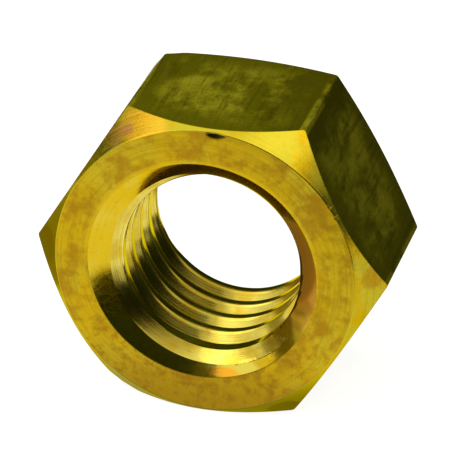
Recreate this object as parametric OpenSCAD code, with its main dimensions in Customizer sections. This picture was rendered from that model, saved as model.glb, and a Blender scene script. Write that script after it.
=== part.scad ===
// Hex nut in brass: one solid piece with a right-hand metric thread.
// The thread axis lies along Y and the nut stands on one of its six flats.
// The origin is on the axis, half way through the thickness.

/* [Body] */
// Width across the flats (wrench size)
across_flats = 18; // [17:0.1:22]
// Thickness from bearing face to bearing face
thickness = 10.4; // [8:0.1:14]
// Diameter of the flat ring on the front bearing face
front_face_d = 17.7; // [15.5:0.1:17.8]
// Slope of the front corner chamfer, measured from the bearing face
front_chamfer_angle = 48; // [20:1:50]
// Diameter of the flat ring on the rear bearing face
rear_face_d = 16.6; // [15.5:0.1:17.8]
// Slope of the rear corner chamfer, measured from the bearing face
rear_chamfer_angle = 25; // [15:1:50]

/* [Thread] */
// Nominal (major) diameter of the thread
thread_d = 12; // [8:0.5:12]
// Distance from one thread turn to the next
pitch = 1.75; // [1:0.25:2]
// How much the bore is opened beyond the basic minor diameter
bore_allowance = 0.33; // [0.1:0.01:0.33]
// Diameter of the countersink where it meets a bearing face
countersink_d = 13.6; // [12.4:0.1:14]
// Included angle of the countersinks
countersink_angle = 90; // [60:1:120]
// Angle round the axis at which the thread groove crosses mid thickness
thread_start_angle = 27; // [0:1:359]

/* [Finish] */
// Straight segments in one turn of the thread groove
turn_segments = 60; // [24:12:72]

/* [Hidden] */

EPS = 0.01;
OVERSHOOT = 1;
ROUND_FN = 96;

// The hexagon's corners lie outside its flats by this ratio
across_corners = across_flats / cos(30);

// ISO metric profile: 60 degree flanks, root an eighth of the pitch wide
FLANK_ANGLE = 30;
minor_d = thread_d - 1.0825 * pitch + bore_allowance;
minor_r = minor_d / 2;
major_r = thread_d / 2;
root_width = pitch / 8;
// The groove cutter starts inside the bore so that its facets never show on the crest
cutter_r = minor_r - 0.25;
cutter_width = root_width + 2 * (major_r - cutter_r) * tan(FLANK_ANGLE);

countersink_depth = (countersink_d - minor_d) / 2 / tan(countersink_angle / 2);

// The cutter runs a little past both faces
turns = ceil((thickness + 2 * cutter_width) / pitch);
rings = turns * turn_segments;

// Height of the groove's centre line at one ring of the cutter
function ring_height(i) = (i / turn_segments - turns / 2) * pitch;
function ring_angle(i) = (i - rings / 2) * 360 / turn_segments + thread_start_angle;
function ring_point(i, r, dz) =
    [r * cos(ring_angle(i)), r * sin(ring_angle(i)), ring_height(i) + dz];
function ring(i) = [
    ring_point(i, cutter_r, -cutter_width / 2),
    ring_point(i, major_r, -root_width / 2),
    ring_point(i, major_r, root_width / 2),
    ring_point(i, cutter_r, cutter_width / 2)
];

// Solid swept along the helix, which cuts the thread groove
module groove_cutter() {
    points = [for (i = [0:rings]) each ring(i)];
    sides = [for (i = [0:rings - 1], k = [0:3])
        let (a = 4 * i + k, b = 4 * i + (k + 1) % 4)
        each [[a, b, a + 4], [b, b + 4, a + 4]]];
    start_cap = [[0, 2, 1], [0, 3, 2]];
    last = 4 * rings;
    end_cap = [[last, last + 1, last + 2], [last, last + 2, last + 3]];
    polyhedron(points, concat(start_cap, sides, end_cap), convexity = 10);
}

// Double cone that turns the corners off both ends of the hexagon
module corner_cone(face_d, angle) {
    reach = across_corners / 2 + OVERSHOOT;
    depth = (reach - face_d / 2) * tan(angle);
    translate([0, 0, thickness / 2 - depth])
        cylinder(h = depth, r1 = reach, r2 = face_d / 2, $fn = ROUND_FN);
    translate([0, 0, -thickness / 2 - OVERSHOOT])
        cylinder(h = thickness + OVERSHOOT - depth, r = reach, $fn = ROUND_FN);
}

module hexagon() {
    translate([0, 0, -thickness / 2])
        cylinder(h = thickness, d = across_corners, $fn = 6);
}

// Cone cut that opens the bore at one face
module countersink() {
    extra = EPS / tan(countersink_angle / 2);
    translate([0, 0, thickness / 2 - countersink_depth])
        cylinder(
            h = countersink_depth + EPS,
            r1 = minor_r,
            r2 = countersink_d / 2 + extra,
            $fn = ROUND_FN
        );
}

module nut_body() {
    color("goldenrod")
    rotate([90, 0, 0])
    difference() {
        intersection() {
            hexagon();
            corner_cone(front_face_d, front_chamfer_angle);
            mirror([0, 0, 1]) corner_cone(rear_face_d, rear_chamfer_angle);
        }
        cylinder(h = thickness + 2 * OVERSHOOT, r = minor_r, center = true, $fn = ROUND_FN);
        countersink();
        mirror([0, 0, 1]) countersink();
        groove_cutter();
    }
}

nut_body();
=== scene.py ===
import math

import bmesh
import bpy
from mathutils import Matrix, Vector


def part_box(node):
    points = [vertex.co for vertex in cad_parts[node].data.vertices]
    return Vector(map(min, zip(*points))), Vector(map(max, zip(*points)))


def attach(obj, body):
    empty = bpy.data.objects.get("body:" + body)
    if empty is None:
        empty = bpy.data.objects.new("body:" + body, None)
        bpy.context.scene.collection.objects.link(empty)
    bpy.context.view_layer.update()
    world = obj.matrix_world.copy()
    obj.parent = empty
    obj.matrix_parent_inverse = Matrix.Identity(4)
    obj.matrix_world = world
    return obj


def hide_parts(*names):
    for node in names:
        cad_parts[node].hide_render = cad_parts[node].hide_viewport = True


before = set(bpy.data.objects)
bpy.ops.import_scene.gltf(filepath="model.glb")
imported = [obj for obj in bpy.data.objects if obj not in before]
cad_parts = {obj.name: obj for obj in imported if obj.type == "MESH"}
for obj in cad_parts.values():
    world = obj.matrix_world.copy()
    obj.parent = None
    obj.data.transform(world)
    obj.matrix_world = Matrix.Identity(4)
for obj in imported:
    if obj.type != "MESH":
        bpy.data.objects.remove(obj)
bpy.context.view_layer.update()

# ---------------------------------------------------------------- sizes, in millimetres

MM = 0.001
low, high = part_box("nut_body")
ACROSS_FLATS = (high[2] - low[2]) / MM
THICKNESS = (high[1] - low[1]) / MM
FLAT_DISTANCE = ACROSS_FLATS / 2
FRONT_Y = -THICKNESS / 2
REAR_Y = THICKNESS / 2

FRONT_FACE_R = 8.85
FRONT_CHAMFER_SLOPE = math.tan(math.radians(48))
REAR_FACE_R = 8.3
REAR_CHAMFER_SLOPE = math.tan(math.radians(25))
RIM_R = 6.8
RIM_REACH = 0.35
LEAD_IN_R = 5.5

PITCH = 1.75
CREST_R = 5.218
ROOT_R = 6.12
FLANK_SLOPE = math.tan(math.radians(30))
ROOT_WIDTH = PITCH / 8
CREST_WIDTH = PITCH - ROOT_WIDTH - 2 * (ROOT_R - CREST_R) * FLANK_SLOPE
# Where the middle of a crest crosses the lowest line of the bore
CREST_Y = -0.3

CREST_EDGE_R = 0.07
ROOT_EDGE_R = 0.14
FACE_EDGE_R = 0.11
FLAT_EDGE_R = 0.06
RIM_EDGE_R = 0.2
CORNER_EDGE_R = 0.25

# Angles round the axis are in degrees from the right (+X) towards the top (+Z), seen from the
# front. The front countersink leans: its slope to the face is flattest at the lower left and
# steepest at the upper right, its rim sits to the left, and in two places it curves steeper
# towards the thread.
FLATTEST_SLOPE = 25
SLOPE_GAIN = 13
STEEPEST_ANGLE = 45
RIM_SHIFT = 0.15
UPPER_RIGHT_HOLLOW = 0.22
LEFT_HOLLOW = 0.19
LEFT_HOLLOW_ANGLE = 147
LEFT_HOLLOW_REACH = 75
HOLLOW_DEPTH = 1.5
# A lead-in cuts the first crest back, most of all at the bottom right
LEAD_IN_ANGLE = 300
LEAD_IN_CUT = 0.26
LEAD_IN_DEPTH = 2.3

# The tap cut the groove deep where it entered, at the lower left of the front mouth, and left
# a little burr. The flank that faces the front leans there.
ENTRY_ANGLE = 240
ENTRY_CUT = 0.2
ENTRY_DEPTH = 1.5
ENTRY_LEAN = 0.13
ENTRY_LEAN_DEPTH = 2
BURR = 0.015

# Marks of use: a nick and two pits in the front face's edge, and two corners worn round,
# one at its rear end (1) and one at its front end (-1)
NICK_ANGLE = 87
NICK_R = 8.72
NICK_DEPTH = 0.1
NICK_LENGTH = 0.62
NICK_WIDTH = 0.2
PIT_ANGLES = (31.5, 36.4)
PIT_R = FRONT_FACE_R + 0.06
PIT_DEPTH = 0.03
PIT_SIZE = 0.16
WORN_CORNERS = ((120, 1), (240, -1))
WEAR = 0.012
WEAR_REACH = 1.2
WEAR_HALF_LENGTH = 3
# Only points this close behind the front face get the nick and the pits
MARKED_DEPTH = 0.4

# The mesh: evenly spaced columns round the axis, with closer ones at corners and marks. A point
# no more than ON_CUT outside the countersink counts as lying on it.
COLUMNS = 264
CLOSE_STEP = 0.4
SMALLEST_STEP = 0.12
LONGEST_STRETCH = 0.16
ON_CUT = 1e-6
SHARP_ANGLE = 35
# In metres
WELD_DISTANCE = 2e-7

# Zones of the surface, which are also the material slots
FACE, CHAMFER, FLAT, THREAD, COUNTERSINK = range(5)


# ---------------------------------------------------------------- profiles

def wave(angle, peak):
    """1 at the peak angle, -1 opposite to it."""
    return math.cos(math.radians(angle - peak))


def bump_at(distance, reach):
    """A smooth hump, 1 in the middle and 0 from reach on."""
    t = min(abs(distance) / reach, 1)
    return (1 - t * t) ** 2


def eased(t):
    """Spreads the cuts of a stretch so that they crowd towards both its ends."""
    return 0.5 - 0.5 * math.cos(math.pi * t)


def fillet(points, radii, steps=4):
    """The polyline with each inner corner rounded. Every corner gives steps + 1 points.

    An arc takes up at most 0.45 of the stretch on either side, whatever its radius.
    """
    out = [Vector(points[0])]
    for i in range(1, len(points) - 1):
        a, b, c = (Vector(points[i + k]) for k in (-1, 0, 1))
        to_a, to_c = (a - b).normalized(), (c - b).normalized()
        half = to_a.angle(to_c) / 2
        reach = min(radii[i - 1] / math.tan(half), 0.45 * (a - b).length, 0.45 * (c - b).length)
        radius = reach * math.tan(half)
        centre = b + (to_a + to_c).normalized() * radius / math.sin(half)
        start, end = b + to_a * reach - centre, b + to_c * reach - centre
        turn = start.angle_signed(end)
        for k in range(steps + 1):
            spun = start.copy()
            spun.rotate(Matrix.Rotation(-turn * k / steps, 2))
            out.append(centre + spun)
    out.append(Vector(points[-1]))
    return out


def subdivided(points, longest):
    """The polyline with its long stretches cut into equal parts."""
    out = [points[0]]
    for a, b in zip(points, points[1:]):
        parts = max(1, math.ceil((b - a).length / longest))
        out += [a.lerp(b, k / parts) for k in range(1, parts + 1)]
    return out


def thread_profile():
    """(distance along the axis from a crest's middle, radius) over one pitch."""
    root_start = PITCH / 2 - ROOT_WIDTH / 2
    corners = [(0, CREST_R), (CREST_WIDTH / 2, CREST_R), (root_start, ROOT_R), (PITCH / 2, ROOT_R)]
    half = subdivided(fillet(corners, [CREST_EDGE_R, ROOT_EDGE_R]), LONGEST_STRETCH)
    mirrored = [Vector((PITCH - p.x, p.y)) for p in reversed(half)]
    return half[:-1] + mirrored[:-1]


def upper_right(angle):
    """How much a place round the front mouth belongs to its upper right, from 0 to 1."""
    share = 0.5 + 0.5 * wave(angle, STEEPEST_ANGLE)
    return share * share * (3 - 2 * share)


def front_slope(angle):
    """Slope of the front countersink at its rim."""
    return math.tan(math.radians(FLATTEST_SLOPE + SLOPE_GAIN * upper_right(angle)))


def front_hollow(angle):
    """How much the front countersink curves steeper towards the thread."""
    left = bump_at(angle - LEFT_HOLLOW_ANGLE, LEFT_HOLLOW_REACH)
    return UPPER_RIGHT_HOLLOW * upper_right(angle) + LEFT_HOLLOW * left


def front_rim(angle):
    """Radius of the front countersink's rim."""
    return RIM_R - RIM_SHIFT * wave(angle, 0)


def countersink_radius(y, angle):
    """Radius of the cut that opens the bore, at either mouth."""
    depth = y - FRONT_Y
    front = front_rim(angle) - depth / front_slope(angle)
    front += front_hollow(angle) * min(depth, HOLLOW_DEPTH) ** 2
    lead_in = CREST_R + LEAD_IN_CUT * max(0, wave(angle, LEAD_IN_ANGLE)) * (depth < LEAD_IN_DEPTH)
    rear = RIM_R - (REAR_Y - y)
    return max(front, lead_in, rear)


def widened(y, radius, from_root, angle):
    """A point of the groove, moved outward along its flank near the place where the tap entered.

    from_root is its distance along the axis past the root's middle.
    """
    depth = y - FRONT_Y
    lower_left = 0.5 + 0.5 * wave(angle, ENTRY_ANGLE)
    share = (radius - CREST_R) / (ROOT_R - CREST_R)
    burr = BURR * (math.sin(angle * 1.3) + math.sin(angle * 3.1) + math.sin(angle * 7.3))
    extra = (ENTRY_CUT + burr) * max(0, 1 - depth / ENTRY_DEPTH) * lower_left * share
    inward = min(extra * FLANK_SLOPE, 0.9 * abs(from_root))
    y -= math.copysign(inward, from_root)
    if from_root > 0:
        # across the crest the lean fades out again
        lean = min(1 - share, (PITCH / 2 - from_root) / (CREST_WIDTH / 2))
        y += ENTRY_LEAN * max(0, 1 - depth / ENTRY_LEAN_DEPTH) * lower_left * lean
    return y, radius + extra


def hexagon_radius(angle, corner_r):
    """Distance from the axis to the hexagon's side, with its corners rounded to corner_r."""
    off_corner = abs((angle + 30) % 60 - 30)
    inner = (FLAT_DISTANCE - corner_r) / math.cos(math.radians(30))
    half_side = (FLAT_DISTANCE - corner_r) * math.tan(math.radians(30))
    rounded_from = 30 - math.degrees(math.atan(half_side / FLAT_DISTANCE))
    if off_corner >= rounded_from:
        return FLAT_DISTANCE / math.cos(math.radians(30 - off_corner))
    phi = math.radians(off_corner)
    return inner * math.cos(phi) + math.sqrt(corner_r**2 - (inner * math.sin(phi)) ** 2)


def outer_profile(angle):
    """[(y, radius, zone)] from the front rim over the hexagon to the rear rim, at one angle."""
    side_r = hexagon_radius(angle, CORNER_EDGE_R)
    front_edge_y = FRONT_Y + (side_r - FRONT_FACE_R) * FRONT_CHAMFER_SLOPE
    rear_edge_y = REAR_Y - (side_r - REAR_FACE_R) * REAR_CHAMFER_SLOPE
    rim = front_rim(angle)
    corners = [
        (FRONT_Y + RIM_REACH * front_slope(angle), rim - RIM_REACH),
        (FRONT_Y, rim),
        (FRONT_Y, FRONT_FACE_R),
        (front_edge_y, side_r),
        (rear_edge_y, side_r),
        (REAR_Y, REAR_FACE_R),
        (REAR_Y, RIM_R),
        (REAR_Y - RIM_REACH, RIM_R - RIM_REACH),
    ]
    radii = [RIM_EDGE_R, FACE_EDGE_R, FLAT_EDGE_R, FLAT_EDGE_R, FACE_EDGE_R, RIM_EDGE_R]
    arc_zones = [FACE, CHAMFER, CHAMFER, FLAT, CHAMFER, FACE]
    stretches = [(16, FACE), (7, CHAMFER), (14, FLAT), (6, CHAMFER), (8, FACE)]
    steps = 4
    rounded = fillet(corners, radii, steps)[1:-1]
    arcs = [rounded[i : i + steps + 1] for i in range(0, len(rounded), steps + 1)]
    out = []
    for i, arc in enumerate(arcs):
        out += [(p.x, p.y, arc_zones[i]) for p in arc[:-1]]
        if i == len(stretches):
            out.append((arc[-1].x, arc[-1].y, arc_zones[i]))
            break
        parts, zone = stretches[i]
        for k in range(parts):
            p = arc[-1].lerp(arcs[i + 1][0], eased(k / parts))
            out.append((p.x, p.y, zone))
    return out


def knocked(x, y, z):
    """Small marks of use: a nick and two pits in the front edge, and two rounded corners."""
    radius = math.hypot(x, z)
    angle = math.degrees(math.atan2(z, x)) % 360
    if y < FRONT_Y + MARKED_DEPTH:
        arc = math.radians(angle - NICK_ANGLE) * radius
        y += NICK_DEPTH * bump_at(arc, NICK_LENGTH) * bump_at(radius - NICK_R, NICK_WIDTH)
        for pit in PIT_ANGLES:
            arc = math.radians(angle - pit) * radius
            y += PIT_DEPTH * bump_at(math.hypot(arc, radius - PIT_R), PIT_SIZE)
    for corner, end in WORN_CORNERS:
        off = math.radians(abs(angle - corner)) * radius
        if off < WEAR_REACH and radius > FLAT_DISTANCE:
            along = (end * y + WEAR_HALF_LENGTH) / (2 * WEAR_HALF_LENGTH)
            wear = bump_at(off, WEAR_REACH) * min(max(0, along), 1) ** 1.5
            x, z = x * (1 - WEAR * wear), z * (1 - WEAR * wear)
    return x, y, z


# ---------------------------------------------------------------- mesh

def column_angles():
    """The angles of the mesh's columns, closer at the corners, the nick and the pits."""
    angles = [i * 360 / COLUMNS for i in range(COLUMNS)]
    for corner in range(6):
        angles += [corner * 60 + d for d in (-0.9, -0.6, -0.4, -0.2, 0.2, 0.4, 0.6, 0.9)]
    angles += [NICK_ANGLE + d * CLOSE_STEP for d in range(-12, 13)]
    # over both pits
    angles += [30 + d * CLOSE_STEP for d in range(22)]
    spread = []
    for angle in sorted({round(a % 360, 4) for a in angles}):
        if not spread or angle - spread[-1] > SMALLEST_STEP:
            spread.append(angle)
    return spread


def bore_rows(angle, profile, clamp_front, clamp_rear, turns, first_y):
    """[(y, radius, on_ridge)] along the bore at one angle.

    Each row follows the helix, and the countersinks cut it short. The row nearest to a
    ridge between thread and countersink is moved onto it.
    """
    rows = []
    for k in range(turns * len(profile)):
        turn, step = divmod(k, len(profile))
        y = first_y + turn * PITCH + profile[step].x - PITCH * angle / 360
        rows.append(widened(y, profile[step].y, profile[step].x - PITCH / 2, angle))
    gaps = [r - countersink_radius(y, angle) for y, r in rows]
    ridge = [False] * len(rows)
    out = [list(row) for row in rows]
    for k in range(len(rows) - 1):
        if gaps[k] * gaps[k + 1] >= 0:
            continue
        t = gaps[k] / (gaps[k] - gaps[k + 1])
        y = rows[k][0] + t * (rows[k + 1][0] - rows[k][0])
        chosen = k if t < 0.5 else k + 1
        if ridge[chosen]:
            chosen = k + 1
        out[chosen] = [y, countersink_radius(y, angle)]
        ridge[chosen] = True
    result = []
    for (y, r), on_ridge in zip(out, ridge):
        y = min(max(y, clamp_front), clamp_rear)
        result.append((y, max(r, countersink_radius(y, angle)), on_ridge))
    return result


def split(quad, first_diagonal):
    """The quad as two triangles."""
    a, b, c, d = quad
    return [(a, b, c), (a, c, d)] if first_diagonal else [(a, b, d), (b, c, d)]


def build_nut():
    """The whole nut as one closed mesh, column by column round the axis."""
    angles = column_angles()
    profile = thread_profile()
    per_turn = len(profile)
    turns = math.ceil((THICKNESS + PITCH) / PITCH) + 2
    # the first crest at angle 0, ahead of the front face
    first_y = CREST_Y + PITCH * 270 / 360
    first_y -= PITCH * math.ceil((first_y - FRONT_Y) / PITCH)
    verts, faces, zones, ridges, cuts, columns = [], [], [], [], [], []
    for angle in angles:
        outer = outer_profile(angle)
        inner = bore_rows(angle, profile, outer[0][0], outer[-1][0], turns, first_y)
        c, s = math.cos(math.radians(angle)), math.sin(math.radians(angle))
        columns.append(len(verts))
        for y, r, on_ridge in inner:
            verts.append((r * c, y, r * s))
            ridges.append(on_ridge)
            cuts.append(r > LEAD_IN_R and r <= countersink_radius(y, angle) + ON_CUT)
        for y, r, zone in outer[1:-1]:
            verts.append(knocked(r * c, y, r * s))
            ridges.append(False)
            cuts.append(False)
    inner_count, outer_count = len(inner), len(outer) - 2
    outer_zones = [zone for y, r, zone in outer]
    for j, a0 in enumerate(columns):
        # after a full turn each row meets the row one pitch further on
        last = j == len(columns) - 1
        b0 = columns[0] if last else columns[j + 1]
        shift = per_turn if last else 0
        for k in range(shift, inner_count - 1):
            quad = (a0 + k, a0 + k + 1, b0 + k + 1 - shift, b0 + k - shift)
            on = [ridges[v] for v in quad]
            if on[0] and on[2] and not (on[1] or on[3]):
                parts = split(quad, True)
            elif on[1] and on[3] and not (on[0] or on[2]):
                parts = split(quad, False)
            else:
                parts = [quad]
            faces += parts
            on_cut = all(cuts[v] for v in quad)
            zones += [COUNTERSINK if on_cut else THREAD] * len(parts)
        rest = range(inner_count, inner_count + outer_count)
        ring_a = [a0] + [a0 + k for k in rest] + [a0 + inner_count - 1]
        ring_b = [b0] + [b0 + k for k in rest] + [b0 + inner_count - 1]
        for k in range(len(ring_a) - 1):
            faces.append((ring_a[k], ring_b[k], ring_b[k + 1], ring_a[k + 1]))
            zones.append(outer_zones[k])
    mesh = bpy.data.meshes.new("nut")
    mesh.from_pydata([Vector(v) * MM for v in verts], [], faces)
    for polygon, zone in zip(mesh.polygons, zones):
        polygon.material_index = zone
        polygon.use_smooth = True
    bm = bmesh.new()
    bm.from_mesh(mesh)
    bmesh.ops.remove_doubles(bm, verts=bm.verts, dist=WELD_DISTANCE)
    bmesh.ops.recalc_face_normals(bm, faces=bm.faces)
    loose = [v for v in bm.verts if not v.link_faces]
    bmesh.ops.delete(bm, geom=loose, context="VERTS")
    bm.to_mesh(mesh)
    bm.free()
    mesh.set_sharp_from_angle(angle=math.radians(SHARP_ANGLE))
    nut = bpy.data.objects.new("nut", mesh)
    bpy.context.scene.collection.objects.link(nut)
    return nut


# ---------------------------------------------------------------- materials

GOLD = (0.50, 0.325, 0.006)
PALE_GOLD = (0.66, 0.54, 0.09)
BRIGHT_GOLD = (0.60, 0.41, 0.012)
GREEN_GOLD = (0.47, 0.375, 0.02)
TARNISH = (0.33, 0.165, 0.006)
SHADE = (0.30, 0.20, 0.01)
# painted shade, for the lower front face
SHADE_GOLD = (0.28, 0.165, 0.007)
# painted shade, for the chamfer
SHADE_OLIVE = (0.13, 0.118, 0.02)
# painted shade, brown
SHADE_BROWN = (0.17, 0.07, 0.008)
# painted shade, for the thread
THREAD_SHADOW = (0.20, 0.13, 0.01)
OXIDE = (0.42, 0.19, 0.015)
# painted highlight
HIGHLIGHT_GOLD = (0.80, 0.65, 0.09)
POLISHED = (0.82, 0.76, 0.25)
# painted shade, for the nick, the pits and a corner of the chamfer
DEEP_SHADE = (0.04, 0.03, 0.004)
PINK_STAIN = (0.58, 0.27, 0.06)
ORANGE_STAIN = (0.92, 0.44, 0.03)
OLIVE = (0.24, 0.193, 0.016)
LIGHT_OLIVE = (0.64, 0.505, 0.055)
DARK_OLIVE = (0.09, 0.072, 0.009)
# Colour the metal keeps in glancing reflections
GLANCE = (0.85, 0.72, 0.12)


class Paint:
    """A brass surface mixed from procedural layers, in the nut's own coordinates in millimetres."""

    def __init__(self, name):
        self.material = bpy.data.materials.new(name)
        self.material.use_nodes = True
        self.tree = self.material.node_tree
        self.shader = self.tree.nodes["Principled BSDF"]
        self.shader.inputs["Metallic"].default_value = 1
        self.shader.inputs["Specular Tint"].default_value = (*GLANCE, 1)
        coordinates = self.tree.nodes.new("ShaderNodeTexCoord").outputs["Object"]
        self.place = self.vector("SCALE", coordinates, Scale=1 / MM)
        parts = self.node("ShaderNodeSeparateXYZ", Vector=self.place)
        across = self.node("ShaderNodeCombineXYZ", X=parts.outputs["X"], Z=parts.outputs["Z"]).outputs[0]
        self.radius = self.vector("LENGTH", across)
        self.height = parts.outputs["Z"]
        self.depth = parts.outputs["Y"]
        self.heading = self.vector("NORMALIZE", across)

    def node(self, kind, settings=None, **inputs):
        node = self.tree.nodes.new(kind)
        for key, value in (settings or {}).items():
            setattr(node, key, value)
        for key, value in inputs.items():
            self.feed(node.inputs[key.replace("_", " ")], value)
        return node

    def feed(self, socket, value):
        if isinstance(value, bpy.types.NodeSocket):
            self.tree.links.new(value, socket)
        elif isinstance(value, (int, float)):
            socket.default_value = value
        else:
            socket.default_value = (*value, 1)[: len(socket.default_value)]

    def vector(self, operation, first, second=None, Scale=None):
        node = self.tree.nodes.new("ShaderNodeVectorMath")
        node.operation = operation
        self.feed(node.inputs[0], first)
        if second is not None:
            self.feed(node.inputs[1], second)
        if Scale is not None:
            node.inputs["Scale"].default_value = Scale
        return node.outputs["Value" if operation in ("LENGTH", "DISTANCE", "DOT_PRODUCT") else "Vector"]

    def maths(self, operation, first, second):
        node = self.tree.nodes.new("ShaderNodeMath")
        node.operation = operation
        self.feed(node.inputs[0], first)
        self.feed(node.inputs[1], second)
        return node.outputs[0]

    def noise(self, where, scale, detail=4.0, roughness=0.55):
        settings = {"Vector": where, "Scale": scale, "Detail": detail, "Roughness": roughness}
        return self.node("ShaderNodeTexNoise", **settings).outputs[0]

    def ramp(self, value, start, end, low=0.0, high=1.0):
        """low up to start, high from end on, and a soft step between them."""
        settings = {"interpolation_type": "SMOOTHSTEP"}
        node = self.node("ShaderNodeMapRange", settings, Value=value)
        for name, number in (("From Min", start), ("From Max", end), ("To Min", low), ("To Max", high)):
            node.inputs[name].default_value = number
        return node.outputs[0]

    def mix(self, factor, first, second):
        node = self.tree.nodes.new("ShaderNodeMix")
        node.data_type = "RGBA"
        # a Mix node has one pair of inputs and one output for each kind of data: these are for colour
        self.feed(node.inputs[0], factor)
        self.feed(node.inputs[6], first)
        self.feed(node.inputs[7], second)
        return node.outputs[2]

    def stretched(self, factors):
        """The place with each axis scaled by its own factor."""
        return self.vector("MULTIPLY", self.place, factors)

    def turned(self, along_radius, along_axis, along_turn):
        """Coordinates for lathe marks, which run round the axis."""
        rise = self.maths("MULTIPLY", self.radius, along_radius)
        run = self.maths("MULTIPLY", self.depth, along_axis)
        offset = self.node("ShaderNodeCombineXYZ", X=rise, Y=run).outputs[0]
        return self.vector("ADD", self.vector("SCALE", self.heading, Scale=along_turn), offset)

    def spot(self, centre, size, ragged=0.5, squeeze=(1, 1, 1)):
        """1 inside a ragged blot about centre, 0 outside. A squeeze below 1 makes it longer that way."""
        wander = self.noise(self.place, 1.6, 3)
        offset = self.vector("MULTIPLY", self.vector("SUBTRACT", self.place, centre), squeeze)
        distance = self.vector("LENGTH", offset)
        edge = self.maths("ADD", distance, self.maths("MULTIPLY", wander, ragged * size))
        return self.ramp(edge, size * (0.7 + ragged / 2), size * (1.2 + ragged / 2), 1, 0)

    def finish(self, colour, roughness, height, relief):
        self.feed(self.shader.inputs["Base Color"], colour)
        self.feed(self.shader.inputs["Roughness"], roughness)
        bump = self.node("ShaderNodeBump", Height=height, Distance=relief * MM)
        bump.inputs["Strength"].default_value = 1
        self.feed(self.shader.inputs["Normal"], bump.outputs[0])
        return self.material


def on_front(angle, radius, depth=0.0):
    """The place at that angle and radius, that deep behind the front face."""
    a = math.radians(angle)
    return (radius * math.cos(a), FRONT_Y + depth, radius * math.sin(a))


def face_paint():
    p = Paint("brass_face")
    wide = p.noise(p.place, 0.3, 4, 0.5)
    patches = p.noise(p.place, 0.55, 5, 0.6)
    fine = p.noise(p.place, 2.2, 5, 0.6)
    marks = p.noise(p.turned(6, 6, 2.5), 1, 3)
    colour = p.mix(p.ramp(wide, 0.45, 0.65, 0, 0.6), GOLD, GREEN_GOLD)
    colour = p.mix(p.ramp(patches, 0.44, 0.66, 0, 0.8), colour, TARNISH)
    colour = p.mix(p.ramp(fine, 0.45, 0.7, 0, 0.45), colour, TARNISH)
    colour = p.mix(p.ramp(marks, 0.3, 0.62, 0.5, 0), colour, SHADE)
    # painted shade: the face darker and browner towards the bottom
    colour = p.mix(p.ramp(p.height, -8.5, -4.5, 0.9, 0), colour, SHADE_GOLD)
    # brown speckles, denser towards the bottom, as part of the painted shade there
    speckled = p.maths("MULTIPLY", p.ramp(fine, 0.46, 0.7), p.ramp(p.height, -6.5, -2.5, 0.35, 0))
    colour = p.mix(speckled, colour, SHADE_BROWN)
    # a painted highlight on the face along the upper half of the countersink's rim
    from_rim = p.vector("DISTANCE", p.place, (-RIM_SHIFT, FRONT_Y, 0))
    by_rim = p.ramp(from_rim, RIM_R + 0.05, RIM_R + 0.3, 0.6, 0)
    rim_highlight = p.maths("MULTIPLY", by_rim, p.ramp(p.height, -1, 3))
    colour = p.mix(rim_highlight, colour, BRIGHT_GOLD)
    # painted shade in the nick
    colour = p.mix(p.spot(on_front(NICK_ANGLE, NICK_R), 0.2, 0.3, (0.33, 1, 1)), colour, DEEP_SHADE)
    rough = p.ramp(fine, 0.3, 0.7, 0.26, 0.34)
    # painted shade in the two pits
    for angle in PIT_ANGLES:
        colour = p.mix(p.spot(on_front(angle, 8.9), 0.12, 0.4), colour, DEEP_SHADE)
    return p.finish(colour, rough, marks, 0.003)


def chamfer_paint():
    p = Paint("brass_chamfer")
    wide = p.noise(p.place, 0.5, 4)
    marks = p.noise(p.turned(6, 6, 2.0), 1, 3)
    fine = p.noise(p.place, 3.0, 5, 0.65)
    colour = p.mix(p.ramp(wide, 0.35, 0.55), GOLD, GREEN_GOLD)
    colour = p.mix(p.ramp(marks, 0.5, 0.75, 0, 0.3), colour, TARNISH)
    # painted shade: a patch at the left end of the chamfer, and darker towards the bottom
    colour = p.mix(p.maths("MULTIPLY", p.spot(on_front(180, 9.7, 0.9), 1.3), 0.3), colour, SHADE_OLIVE)
    colour = p.mix(p.ramp(p.height, -8.2, -5.0, 0.95, 0), colour, SHADE_OLIVE)
    halo = p.spot(on_front(115, 9.4, 0.6), 1.2, 0.5, (0.7, 1, 1))
    colour = p.mix(p.maths("MULTIPLY", halo, 0.45), colour, ORANGE_STAIN)
    tail = p.spot(on_front(126, 9.3, 0.6), 0.7, 0.5)
    colour = p.mix(p.maths("MULTIPLY", tail, 0.5), colour, PINK_STAIN)
    colour = p.mix(p.spot(on_front(121, 9.35, 0.6), 0.36, 1.0, (0.8, 1, 1)), colour, PINK_STAIN)
    colour = p.mix(p.maths("MULTIPLY", p.spot(on_front(5, 9.8, 0.9), 0.8, 0.9), 0.6), colour, TARNISH)
    # painted shade at the chamfer's lower right corner
    colour = p.mix(p.maths("MULTIPLY", p.spot(on_front(299, 9.9, 1.0), 1.1, 0.9), 0.6), colour, DEEP_SHADE)
    rough = p.ramp(fine, 0.3, 0.7, 0.18, 0.28)
    height = p.maths("ADD", fine, marks)
    return p.finish(colour, rough, height, 0.005)


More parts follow.
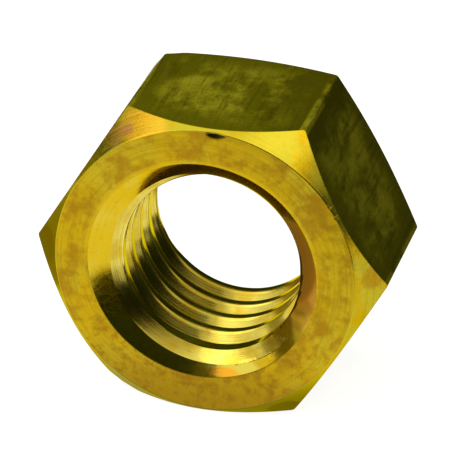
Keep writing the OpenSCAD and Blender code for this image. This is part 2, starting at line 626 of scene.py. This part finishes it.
def flat_paint():
    p = Paint("brass_flats")
    cloud = p.noise(p.stretched((0.5, 0.3, 0.5)), 1, 6, 0.65)
    grain = p.noise(p.place, 6.0, 4, 0.7)
    drawn = p.noise(p.stretched((4, 0.3, 4)), 1, 3)
    near_corner = p.ramp(p.radius, 9.5, 10.25, 1, 0)
    near_end = p.ramp(p.maths("ABSOLUTE", p.depth, 0), 2.2, 4.6, 1, 0)
    middle = p.maths("MULTIPLY", near_corner, near_end)
    lit = p.maths("MULTIPLY", middle, p.ramp(cloud, 0.4, 0.62))
    colour = p.mix(lit, OLIVE, LIGHT_OLIVE)
    colour = p.mix(p.ramp(grain, 0.48, 0.7, 0, 0.6), colour, DARK_OLIVE)
    colour = p.mix(p.ramp(drawn, 0.5, 0.7, 0, 0.5), colour, DARK_OLIVE)
    colour = p.mix(p.ramp(drawn, 0.66, 0.74, 0, 0.5), colour, TARNISH)
    shaded = p.spot((5.0, 0, FLAT_DISTANCE), 3.0, 1.2, (1, 0.5, 1.6))
    colour = p.mix(p.maths("MULTIPLY", shaded, 0.5), colour, DARK_OLIVE)
    worn = p.maths("MULTIPLY", p.ramp(p.radius, 10.2, 10.28, 0, 0.8), p.ramp(cloud, 0.38, 0.55))
    colour = p.mix(worn, colour, LIGHT_OLIVE)
    rough = p.ramp(grain, 0.3, 0.7, 0.34, 0.5)
    return p.finish(colour, rough, grain, 0.008)


def thread_paint():
    p = Paint("brass_thread")
    streaks = p.noise(p.turned(14, 1.2, 1.0), 1, 4, 0.65)
    wide = p.noise(p.place, 0.7, 4)
    colour = p.mix(p.ramp(wide, 0.4, 0.65, 0, 0.7), PALE_GOLD, GOLD)
    colour = p.mix(p.spot((-0.6, FRONT_Y + 3.2, -5.7), 0.5, 0.8, (0.5, 1, 1)), colour, TARNISH)
    colour = p.mix(p.ramp(streaks, 0.45, 0.7, 0, 0.4), colour, TARNISH)
    # painted shade: darker and browner at the lower left, most of all deep inside
    sideways = p.vector("DOT_PRODUCT", p.place, (1, -0.3, 0))
    shade_lower_left = p.maths("ADD", sideways, p.ramp(streaks, 0.3, 0.7, -0.5, 0.5))
    low_down = p.ramp(p.height, -3.6, -0.8, 1, 0)
    colour = p.mix(p.maths("MULTIPLY", p.ramp(shade_lower_left, -2.4, 2.8, 0.75, 0), low_down), colour, THREAD_SHADOW)
    # the crests are polished, most of all up the left side
    on_crest = p.ramp(p.radius, CREST_R + 0.03, CREST_R + 0.1, 0.5, 0)
    colour = p.mix(p.maths("MULTIPLY", on_crest, p.ramp(p.height, -2.5, 0.5)), colour, POLISHED)
    # a painted shadow at the lower right, where the front flank runs out
    flank_end_shadow = p.spot(on_front(327, 5.8, 0.9), 1.1, 0.5)
    colour = p.mix(p.maths("MULTIPLY", flank_end_shadow, 0.8), colour, THREAD_SHADOW)
    rough = p.ramp(streaks, 0.3, 0.7, 0.1, 0.17)
    return p.finish(colour, rough, streaks, 0.0025)


def countersink_paint():
    p = Paint("brass_countersink")
    streaks = p.noise(p.turned(9, 1.2, 0.8), 1, 3, 0.6)
    wide = p.noise(p.place, 0.6, 4)
    fine = p.noise(p.place, 4.0, 4, 0.65)
    colour = p.mix(p.ramp(wide, 0.45, 0.7, 0, 0.3), BRIGHT_GOLD, PALE_GOLD)
    colour = p.mix(p.ramp(streaks, 0.5, 0.72, 0, 0.15), colour, TARNISH)
    colour = p.mix(p.ramp(fine, 0.55, 0.75, 0, 0.3), colour, TARNISH)
    # a painted highlight low on the countersink cone
    cone_highlight = p.spot(on_front(287, 6.3, 0.2), 0.8, 0.6, (0.45, 1, 1))
    colour = p.mix(p.maths("MULTIPLY", cone_highlight, 0.75), colour, HIGHLIGHT_GOLD)
    colour = p.mix(p.spot(on_front(282, 6.5, 0.15), 0.3, 0.2, (0.28, 1, 0.9)), colour, ORANGE_STAIN)
    # painted shade at the right of the cone, below its middle
    colour = p.mix(p.spot(on_front(325, 6.1, 0.5), 1.3, 0.2), colour, SHADE)
    cone_shade_right = p.spot(on_front(337, 6.0, 0.6), 0.8, 0.4)
    colour = p.mix(p.maths("MULTIPLY", cone_shade_right, 0.55), colour, SHADE_BROWN)
    # a dull oxide coat on the right side
    coated = p.spot(on_front(10, 6.0, 0.7), 3.0, 0.4, (1, 1, 0.9))
    colour = p.mix(coated, colour, OXIDE)
    p.feed(p.shader.inputs["Metallic"], p.ramp(coated, 0, 1, 1, 0.5))
    rough = p.ramp(fine, 0.3, 0.7, 0.1, 0.16)
    return p.finish(colour, rough, streaks, 0.001)


# ---------------------------------------------------------------- stage

# In metres: the height of the cards that lie on the floor, and the wall behind the nut
GROUND = low[2] + 0.2 * MM
WALL_Y = 0.1
WALL_REACH = 0.5
WALL_SPLIT = 0.066
WALL_TOP = 0.25
FLOOR_REACH = 3

WALL_SHADE = (0.045, 0.064, 0.022)
WALL_GLOW = (0.64, 0.77, 0.34)
GROUND_SHADE = (0.045, 0.055, 0.02)
OCHRE = (0.4, 0.38, 0.2)
ROOM = (0.34, 0.3, 0.12)
CAMERA_SHADE = (0.018, 0.03, 0.012)
DARK = (0.005, 0.008, 0.003)


def look_from(azimuth, elevation, roll, distance, aside, above):
    """Camera axes and place for a view of the origin, which stands aside and above the view's middle."""
    a, e, r = (math.radians(x) for x in (azimuth, elevation, roll))
    towards = Vector((math.sin(a) * math.cos(e), -math.cos(a) * math.cos(e), math.sin(e)))
    level = Vector((math.cos(a), math.sin(a), 0))
    upright = towards.cross(level)
    right = level * math.cos(r) + upright * math.sin(r)
    up = upright * math.cos(r) - level * math.sin(r)
    place = towards * distance - right * aside - up * above
    return Matrix.Translation(place) @ Matrix((right, up, towards)).transposed().to_4x4()


def add_camera():
    data = bpy.data.cameras.new("camera")
    data.lens = 317.3
    data.sensor_width = 36
    data.clip_start = 0.01
    camera = bpy.data.objects.new("camera", data)
    camera.matrix_world = look_from(
        azimuth=14.10,
        elevation=26.87,
        roll=1.84,
        distance=235.28 * MM,
        aside=-0.155 * MM,
        above=-0.178 * MM,
    )
    bpy.context.scene.collection.objects.link(camera)
    bpy.context.scene.camera = camera


def add_floor():
    signs = ((-1, -1), (1, -1), (1, 1), (-1, 1))
    corners = [(x * FLOOR_REACH, y * FLOOR_REACH, low[2]) for x, y in signs]
    mesh = bpy.data.meshes.new("floor")
    mesh.from_pydata(corners, [], [(0, 1, 2, 3)])
    floor = bpy.data.objects.new("floor", mesh)
    bpy.context.scene.collection.objects.link(floor)
    mat = bpy.data.materials.new("pale_paper")
    mat.use_nodes = True
    shader = mat.node_tree.nodes["Principled BSDF"]
    shader.inputs["Base Color"].default_value = (0.4, 0.4, 0.4, 1)
    shader.inputs["Roughness"].default_value = 0.9
    shader.inputs["Emission Color"].default_value = (1, 1, 0.99, 1)
    shader.inputs["Emission Strength"].default_value = 0.86
    mesh.materials.append(mat)


def add_flag(name, corners, tone):
    """A card that stands outside the picture and shows only in reflections."""
    mesh = bpy.data.meshes.new(name)
    mesh.from_pydata(corners, [], [(0, 1, 2, 3)])
    flag = bpy.data.objects.new(name, mesh)
    bpy.context.scene.collection.objects.link(flag)
    mat = bpy.data.materials.new(name)
    mat.use_nodes = True
    shader = mat.node_tree.nodes["Principled BSDF"]
    shader.inputs["Base Color"].default_value = (0, 0, 0, 1)
    shader.inputs["Specular IOR Level"].default_value = 0
    shader.inputs["Emission Color"].default_value = (*tone, 1)
    shader.inputs["Emission Strength"].default_value = 1
    mesh.materials.append(mat)
    flag.visible_camera = False
    flag.visible_diffuse = False
    flag.visible_shadow = False


def around(azimuth, elevation, distance):
    """A place in that direction from the nut. Azimuth 0 is straight in front and grows to the right."""
    a, e = math.radians(azimuth), math.radians(elevation)
    return Vector((math.sin(a) * math.cos(e), -math.cos(a) * math.cos(e), math.sin(e))) * distance


def add_wall(name, bottom, top, tone):
    """A card that stands upright behind the nut."""
    sides = ((-WALL_REACH, bottom), (WALL_REACH, bottom), (WALL_REACH, top), (-WALL_REACH, top))
    add_flag(name, [(x, WALL_Y, z) for x, z in sides], tone)


def add_ground(name, places, tone):
    """A card that lies on the floor."""
    add_flag(name, [(x, y, GROUND) for x, y in places], tone)


def add_screen(name, directions, distance, tone):
    """A card whose corners lie in those directions from the nut."""
    add_flag(name, [around(azimuth, elevation, distance) for azimuth, elevation in directions], tone)


def add_softbox(name, place, target, size, power):
    data = bpy.data.lights.new(name, "AREA")
    data.shape = "RECTANGLE"
    data.size, data.size_y = size
    data.energy = power
    light = bpy.data.objects.new(name, data)
    direction = Vector(target) - Vector(place)
    light.rotation_euler = direction.to_track_quat("-Z", "Y").to_euler()
    light.location = place
    bpy.context.scene.collection.objects.link(light)


def add_world():
    """White behind the picture, dim in every reflection."""
    world = bpy.data.worlds.new("studio")
    world.use_nodes = True
    tree = world.node_tree
    dim = tree.nodes["Background"]
    dim.inputs["Color"].default_value = (0.1, 0.11, 0.08, 1)
    bright = tree.nodes.new("ShaderNodeBackground")
    bright.inputs["Color"].default_value = (0.98, 0.98, 0.97, 1)
    blend = tree.nodes.new("ShaderNodeMixShader")
    seen = tree.nodes.new("ShaderNodeLightPath").outputs["Is Camera Ray"]
    tree.links.new(seen, blend.inputs[0])
    tree.links.new(dim.outputs[0], blend.inputs[1])
    tree.links.new(bright.outputs[0], blend.inputs[2])
    tree.links.new(blend.outputs[0], tree.nodes["World Output"].inputs["Surface"])
    bpy.context.scene.world = world


scene = bpy.context.scene
scene.view_settings.view_transform = "Standard"
add_camera()
add_floor()
add_softbox("overhead", (-0.06, -0.15, 0.38), (-0.04, 0.08, 0.05), (0.78, 0.60), 2.05)
add_softbox("left", around(-50, 25, 0.45), (0, 0, 0), (0.46, 0.26), 0.36)
add_softbox("right", around(55, 50, 0.45), (0, 0, 0), (0.36, 0.32), 0.2)
add_world()

# cards seen only in reflections: a wall behind the nut, darker ground on both sides,
# the room to the left, and the camera behind a dark table in front
add_wall("wall_low", GROUND, WALL_SPLIT, WALL_SHADE)
add_wall("wall_high", WALL_SPLIT, WALL_TOP, WALL_GLOW)
add_ground("right_ground", [(0.013, 0), (0.25, -0.05), (0.25, 0.4), (0.013, 0.4)], GROUND_SHADE)
add_ground("left_ground", [(-0.016, -0.01), (-0.016, 0.02), (-0.15, 0.06), (-0.15, -0.03)], OCHRE)
add_screen("left_room", [(-46, -3), (-115, -3), (-115, 12), (-46, 12)], 0.5, ROOM)
add_screen("camera_screen", [(-11, 31), (34, 19), (46, -2.5), (-11, -2.5)], 0.2, CAMERA_SHADE)
add_ground("table", [(0.007, -0.0245), (0.013, -0.026), (0.11, -0.2), (-0.045, -0.19)], DARK)
add_ground("table_side", [(0.0235, -0.034), (0.15, -0.195), (0.25, -0.15), (0.037, -0.017)], DARK)

nut = build_nut()
for paint in (face_paint, chamfer_paint, flat_paint, thread_paint, countersink_paint):
    nut.data.materials.append(paint())
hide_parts("nut_body")
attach(nut, "root")
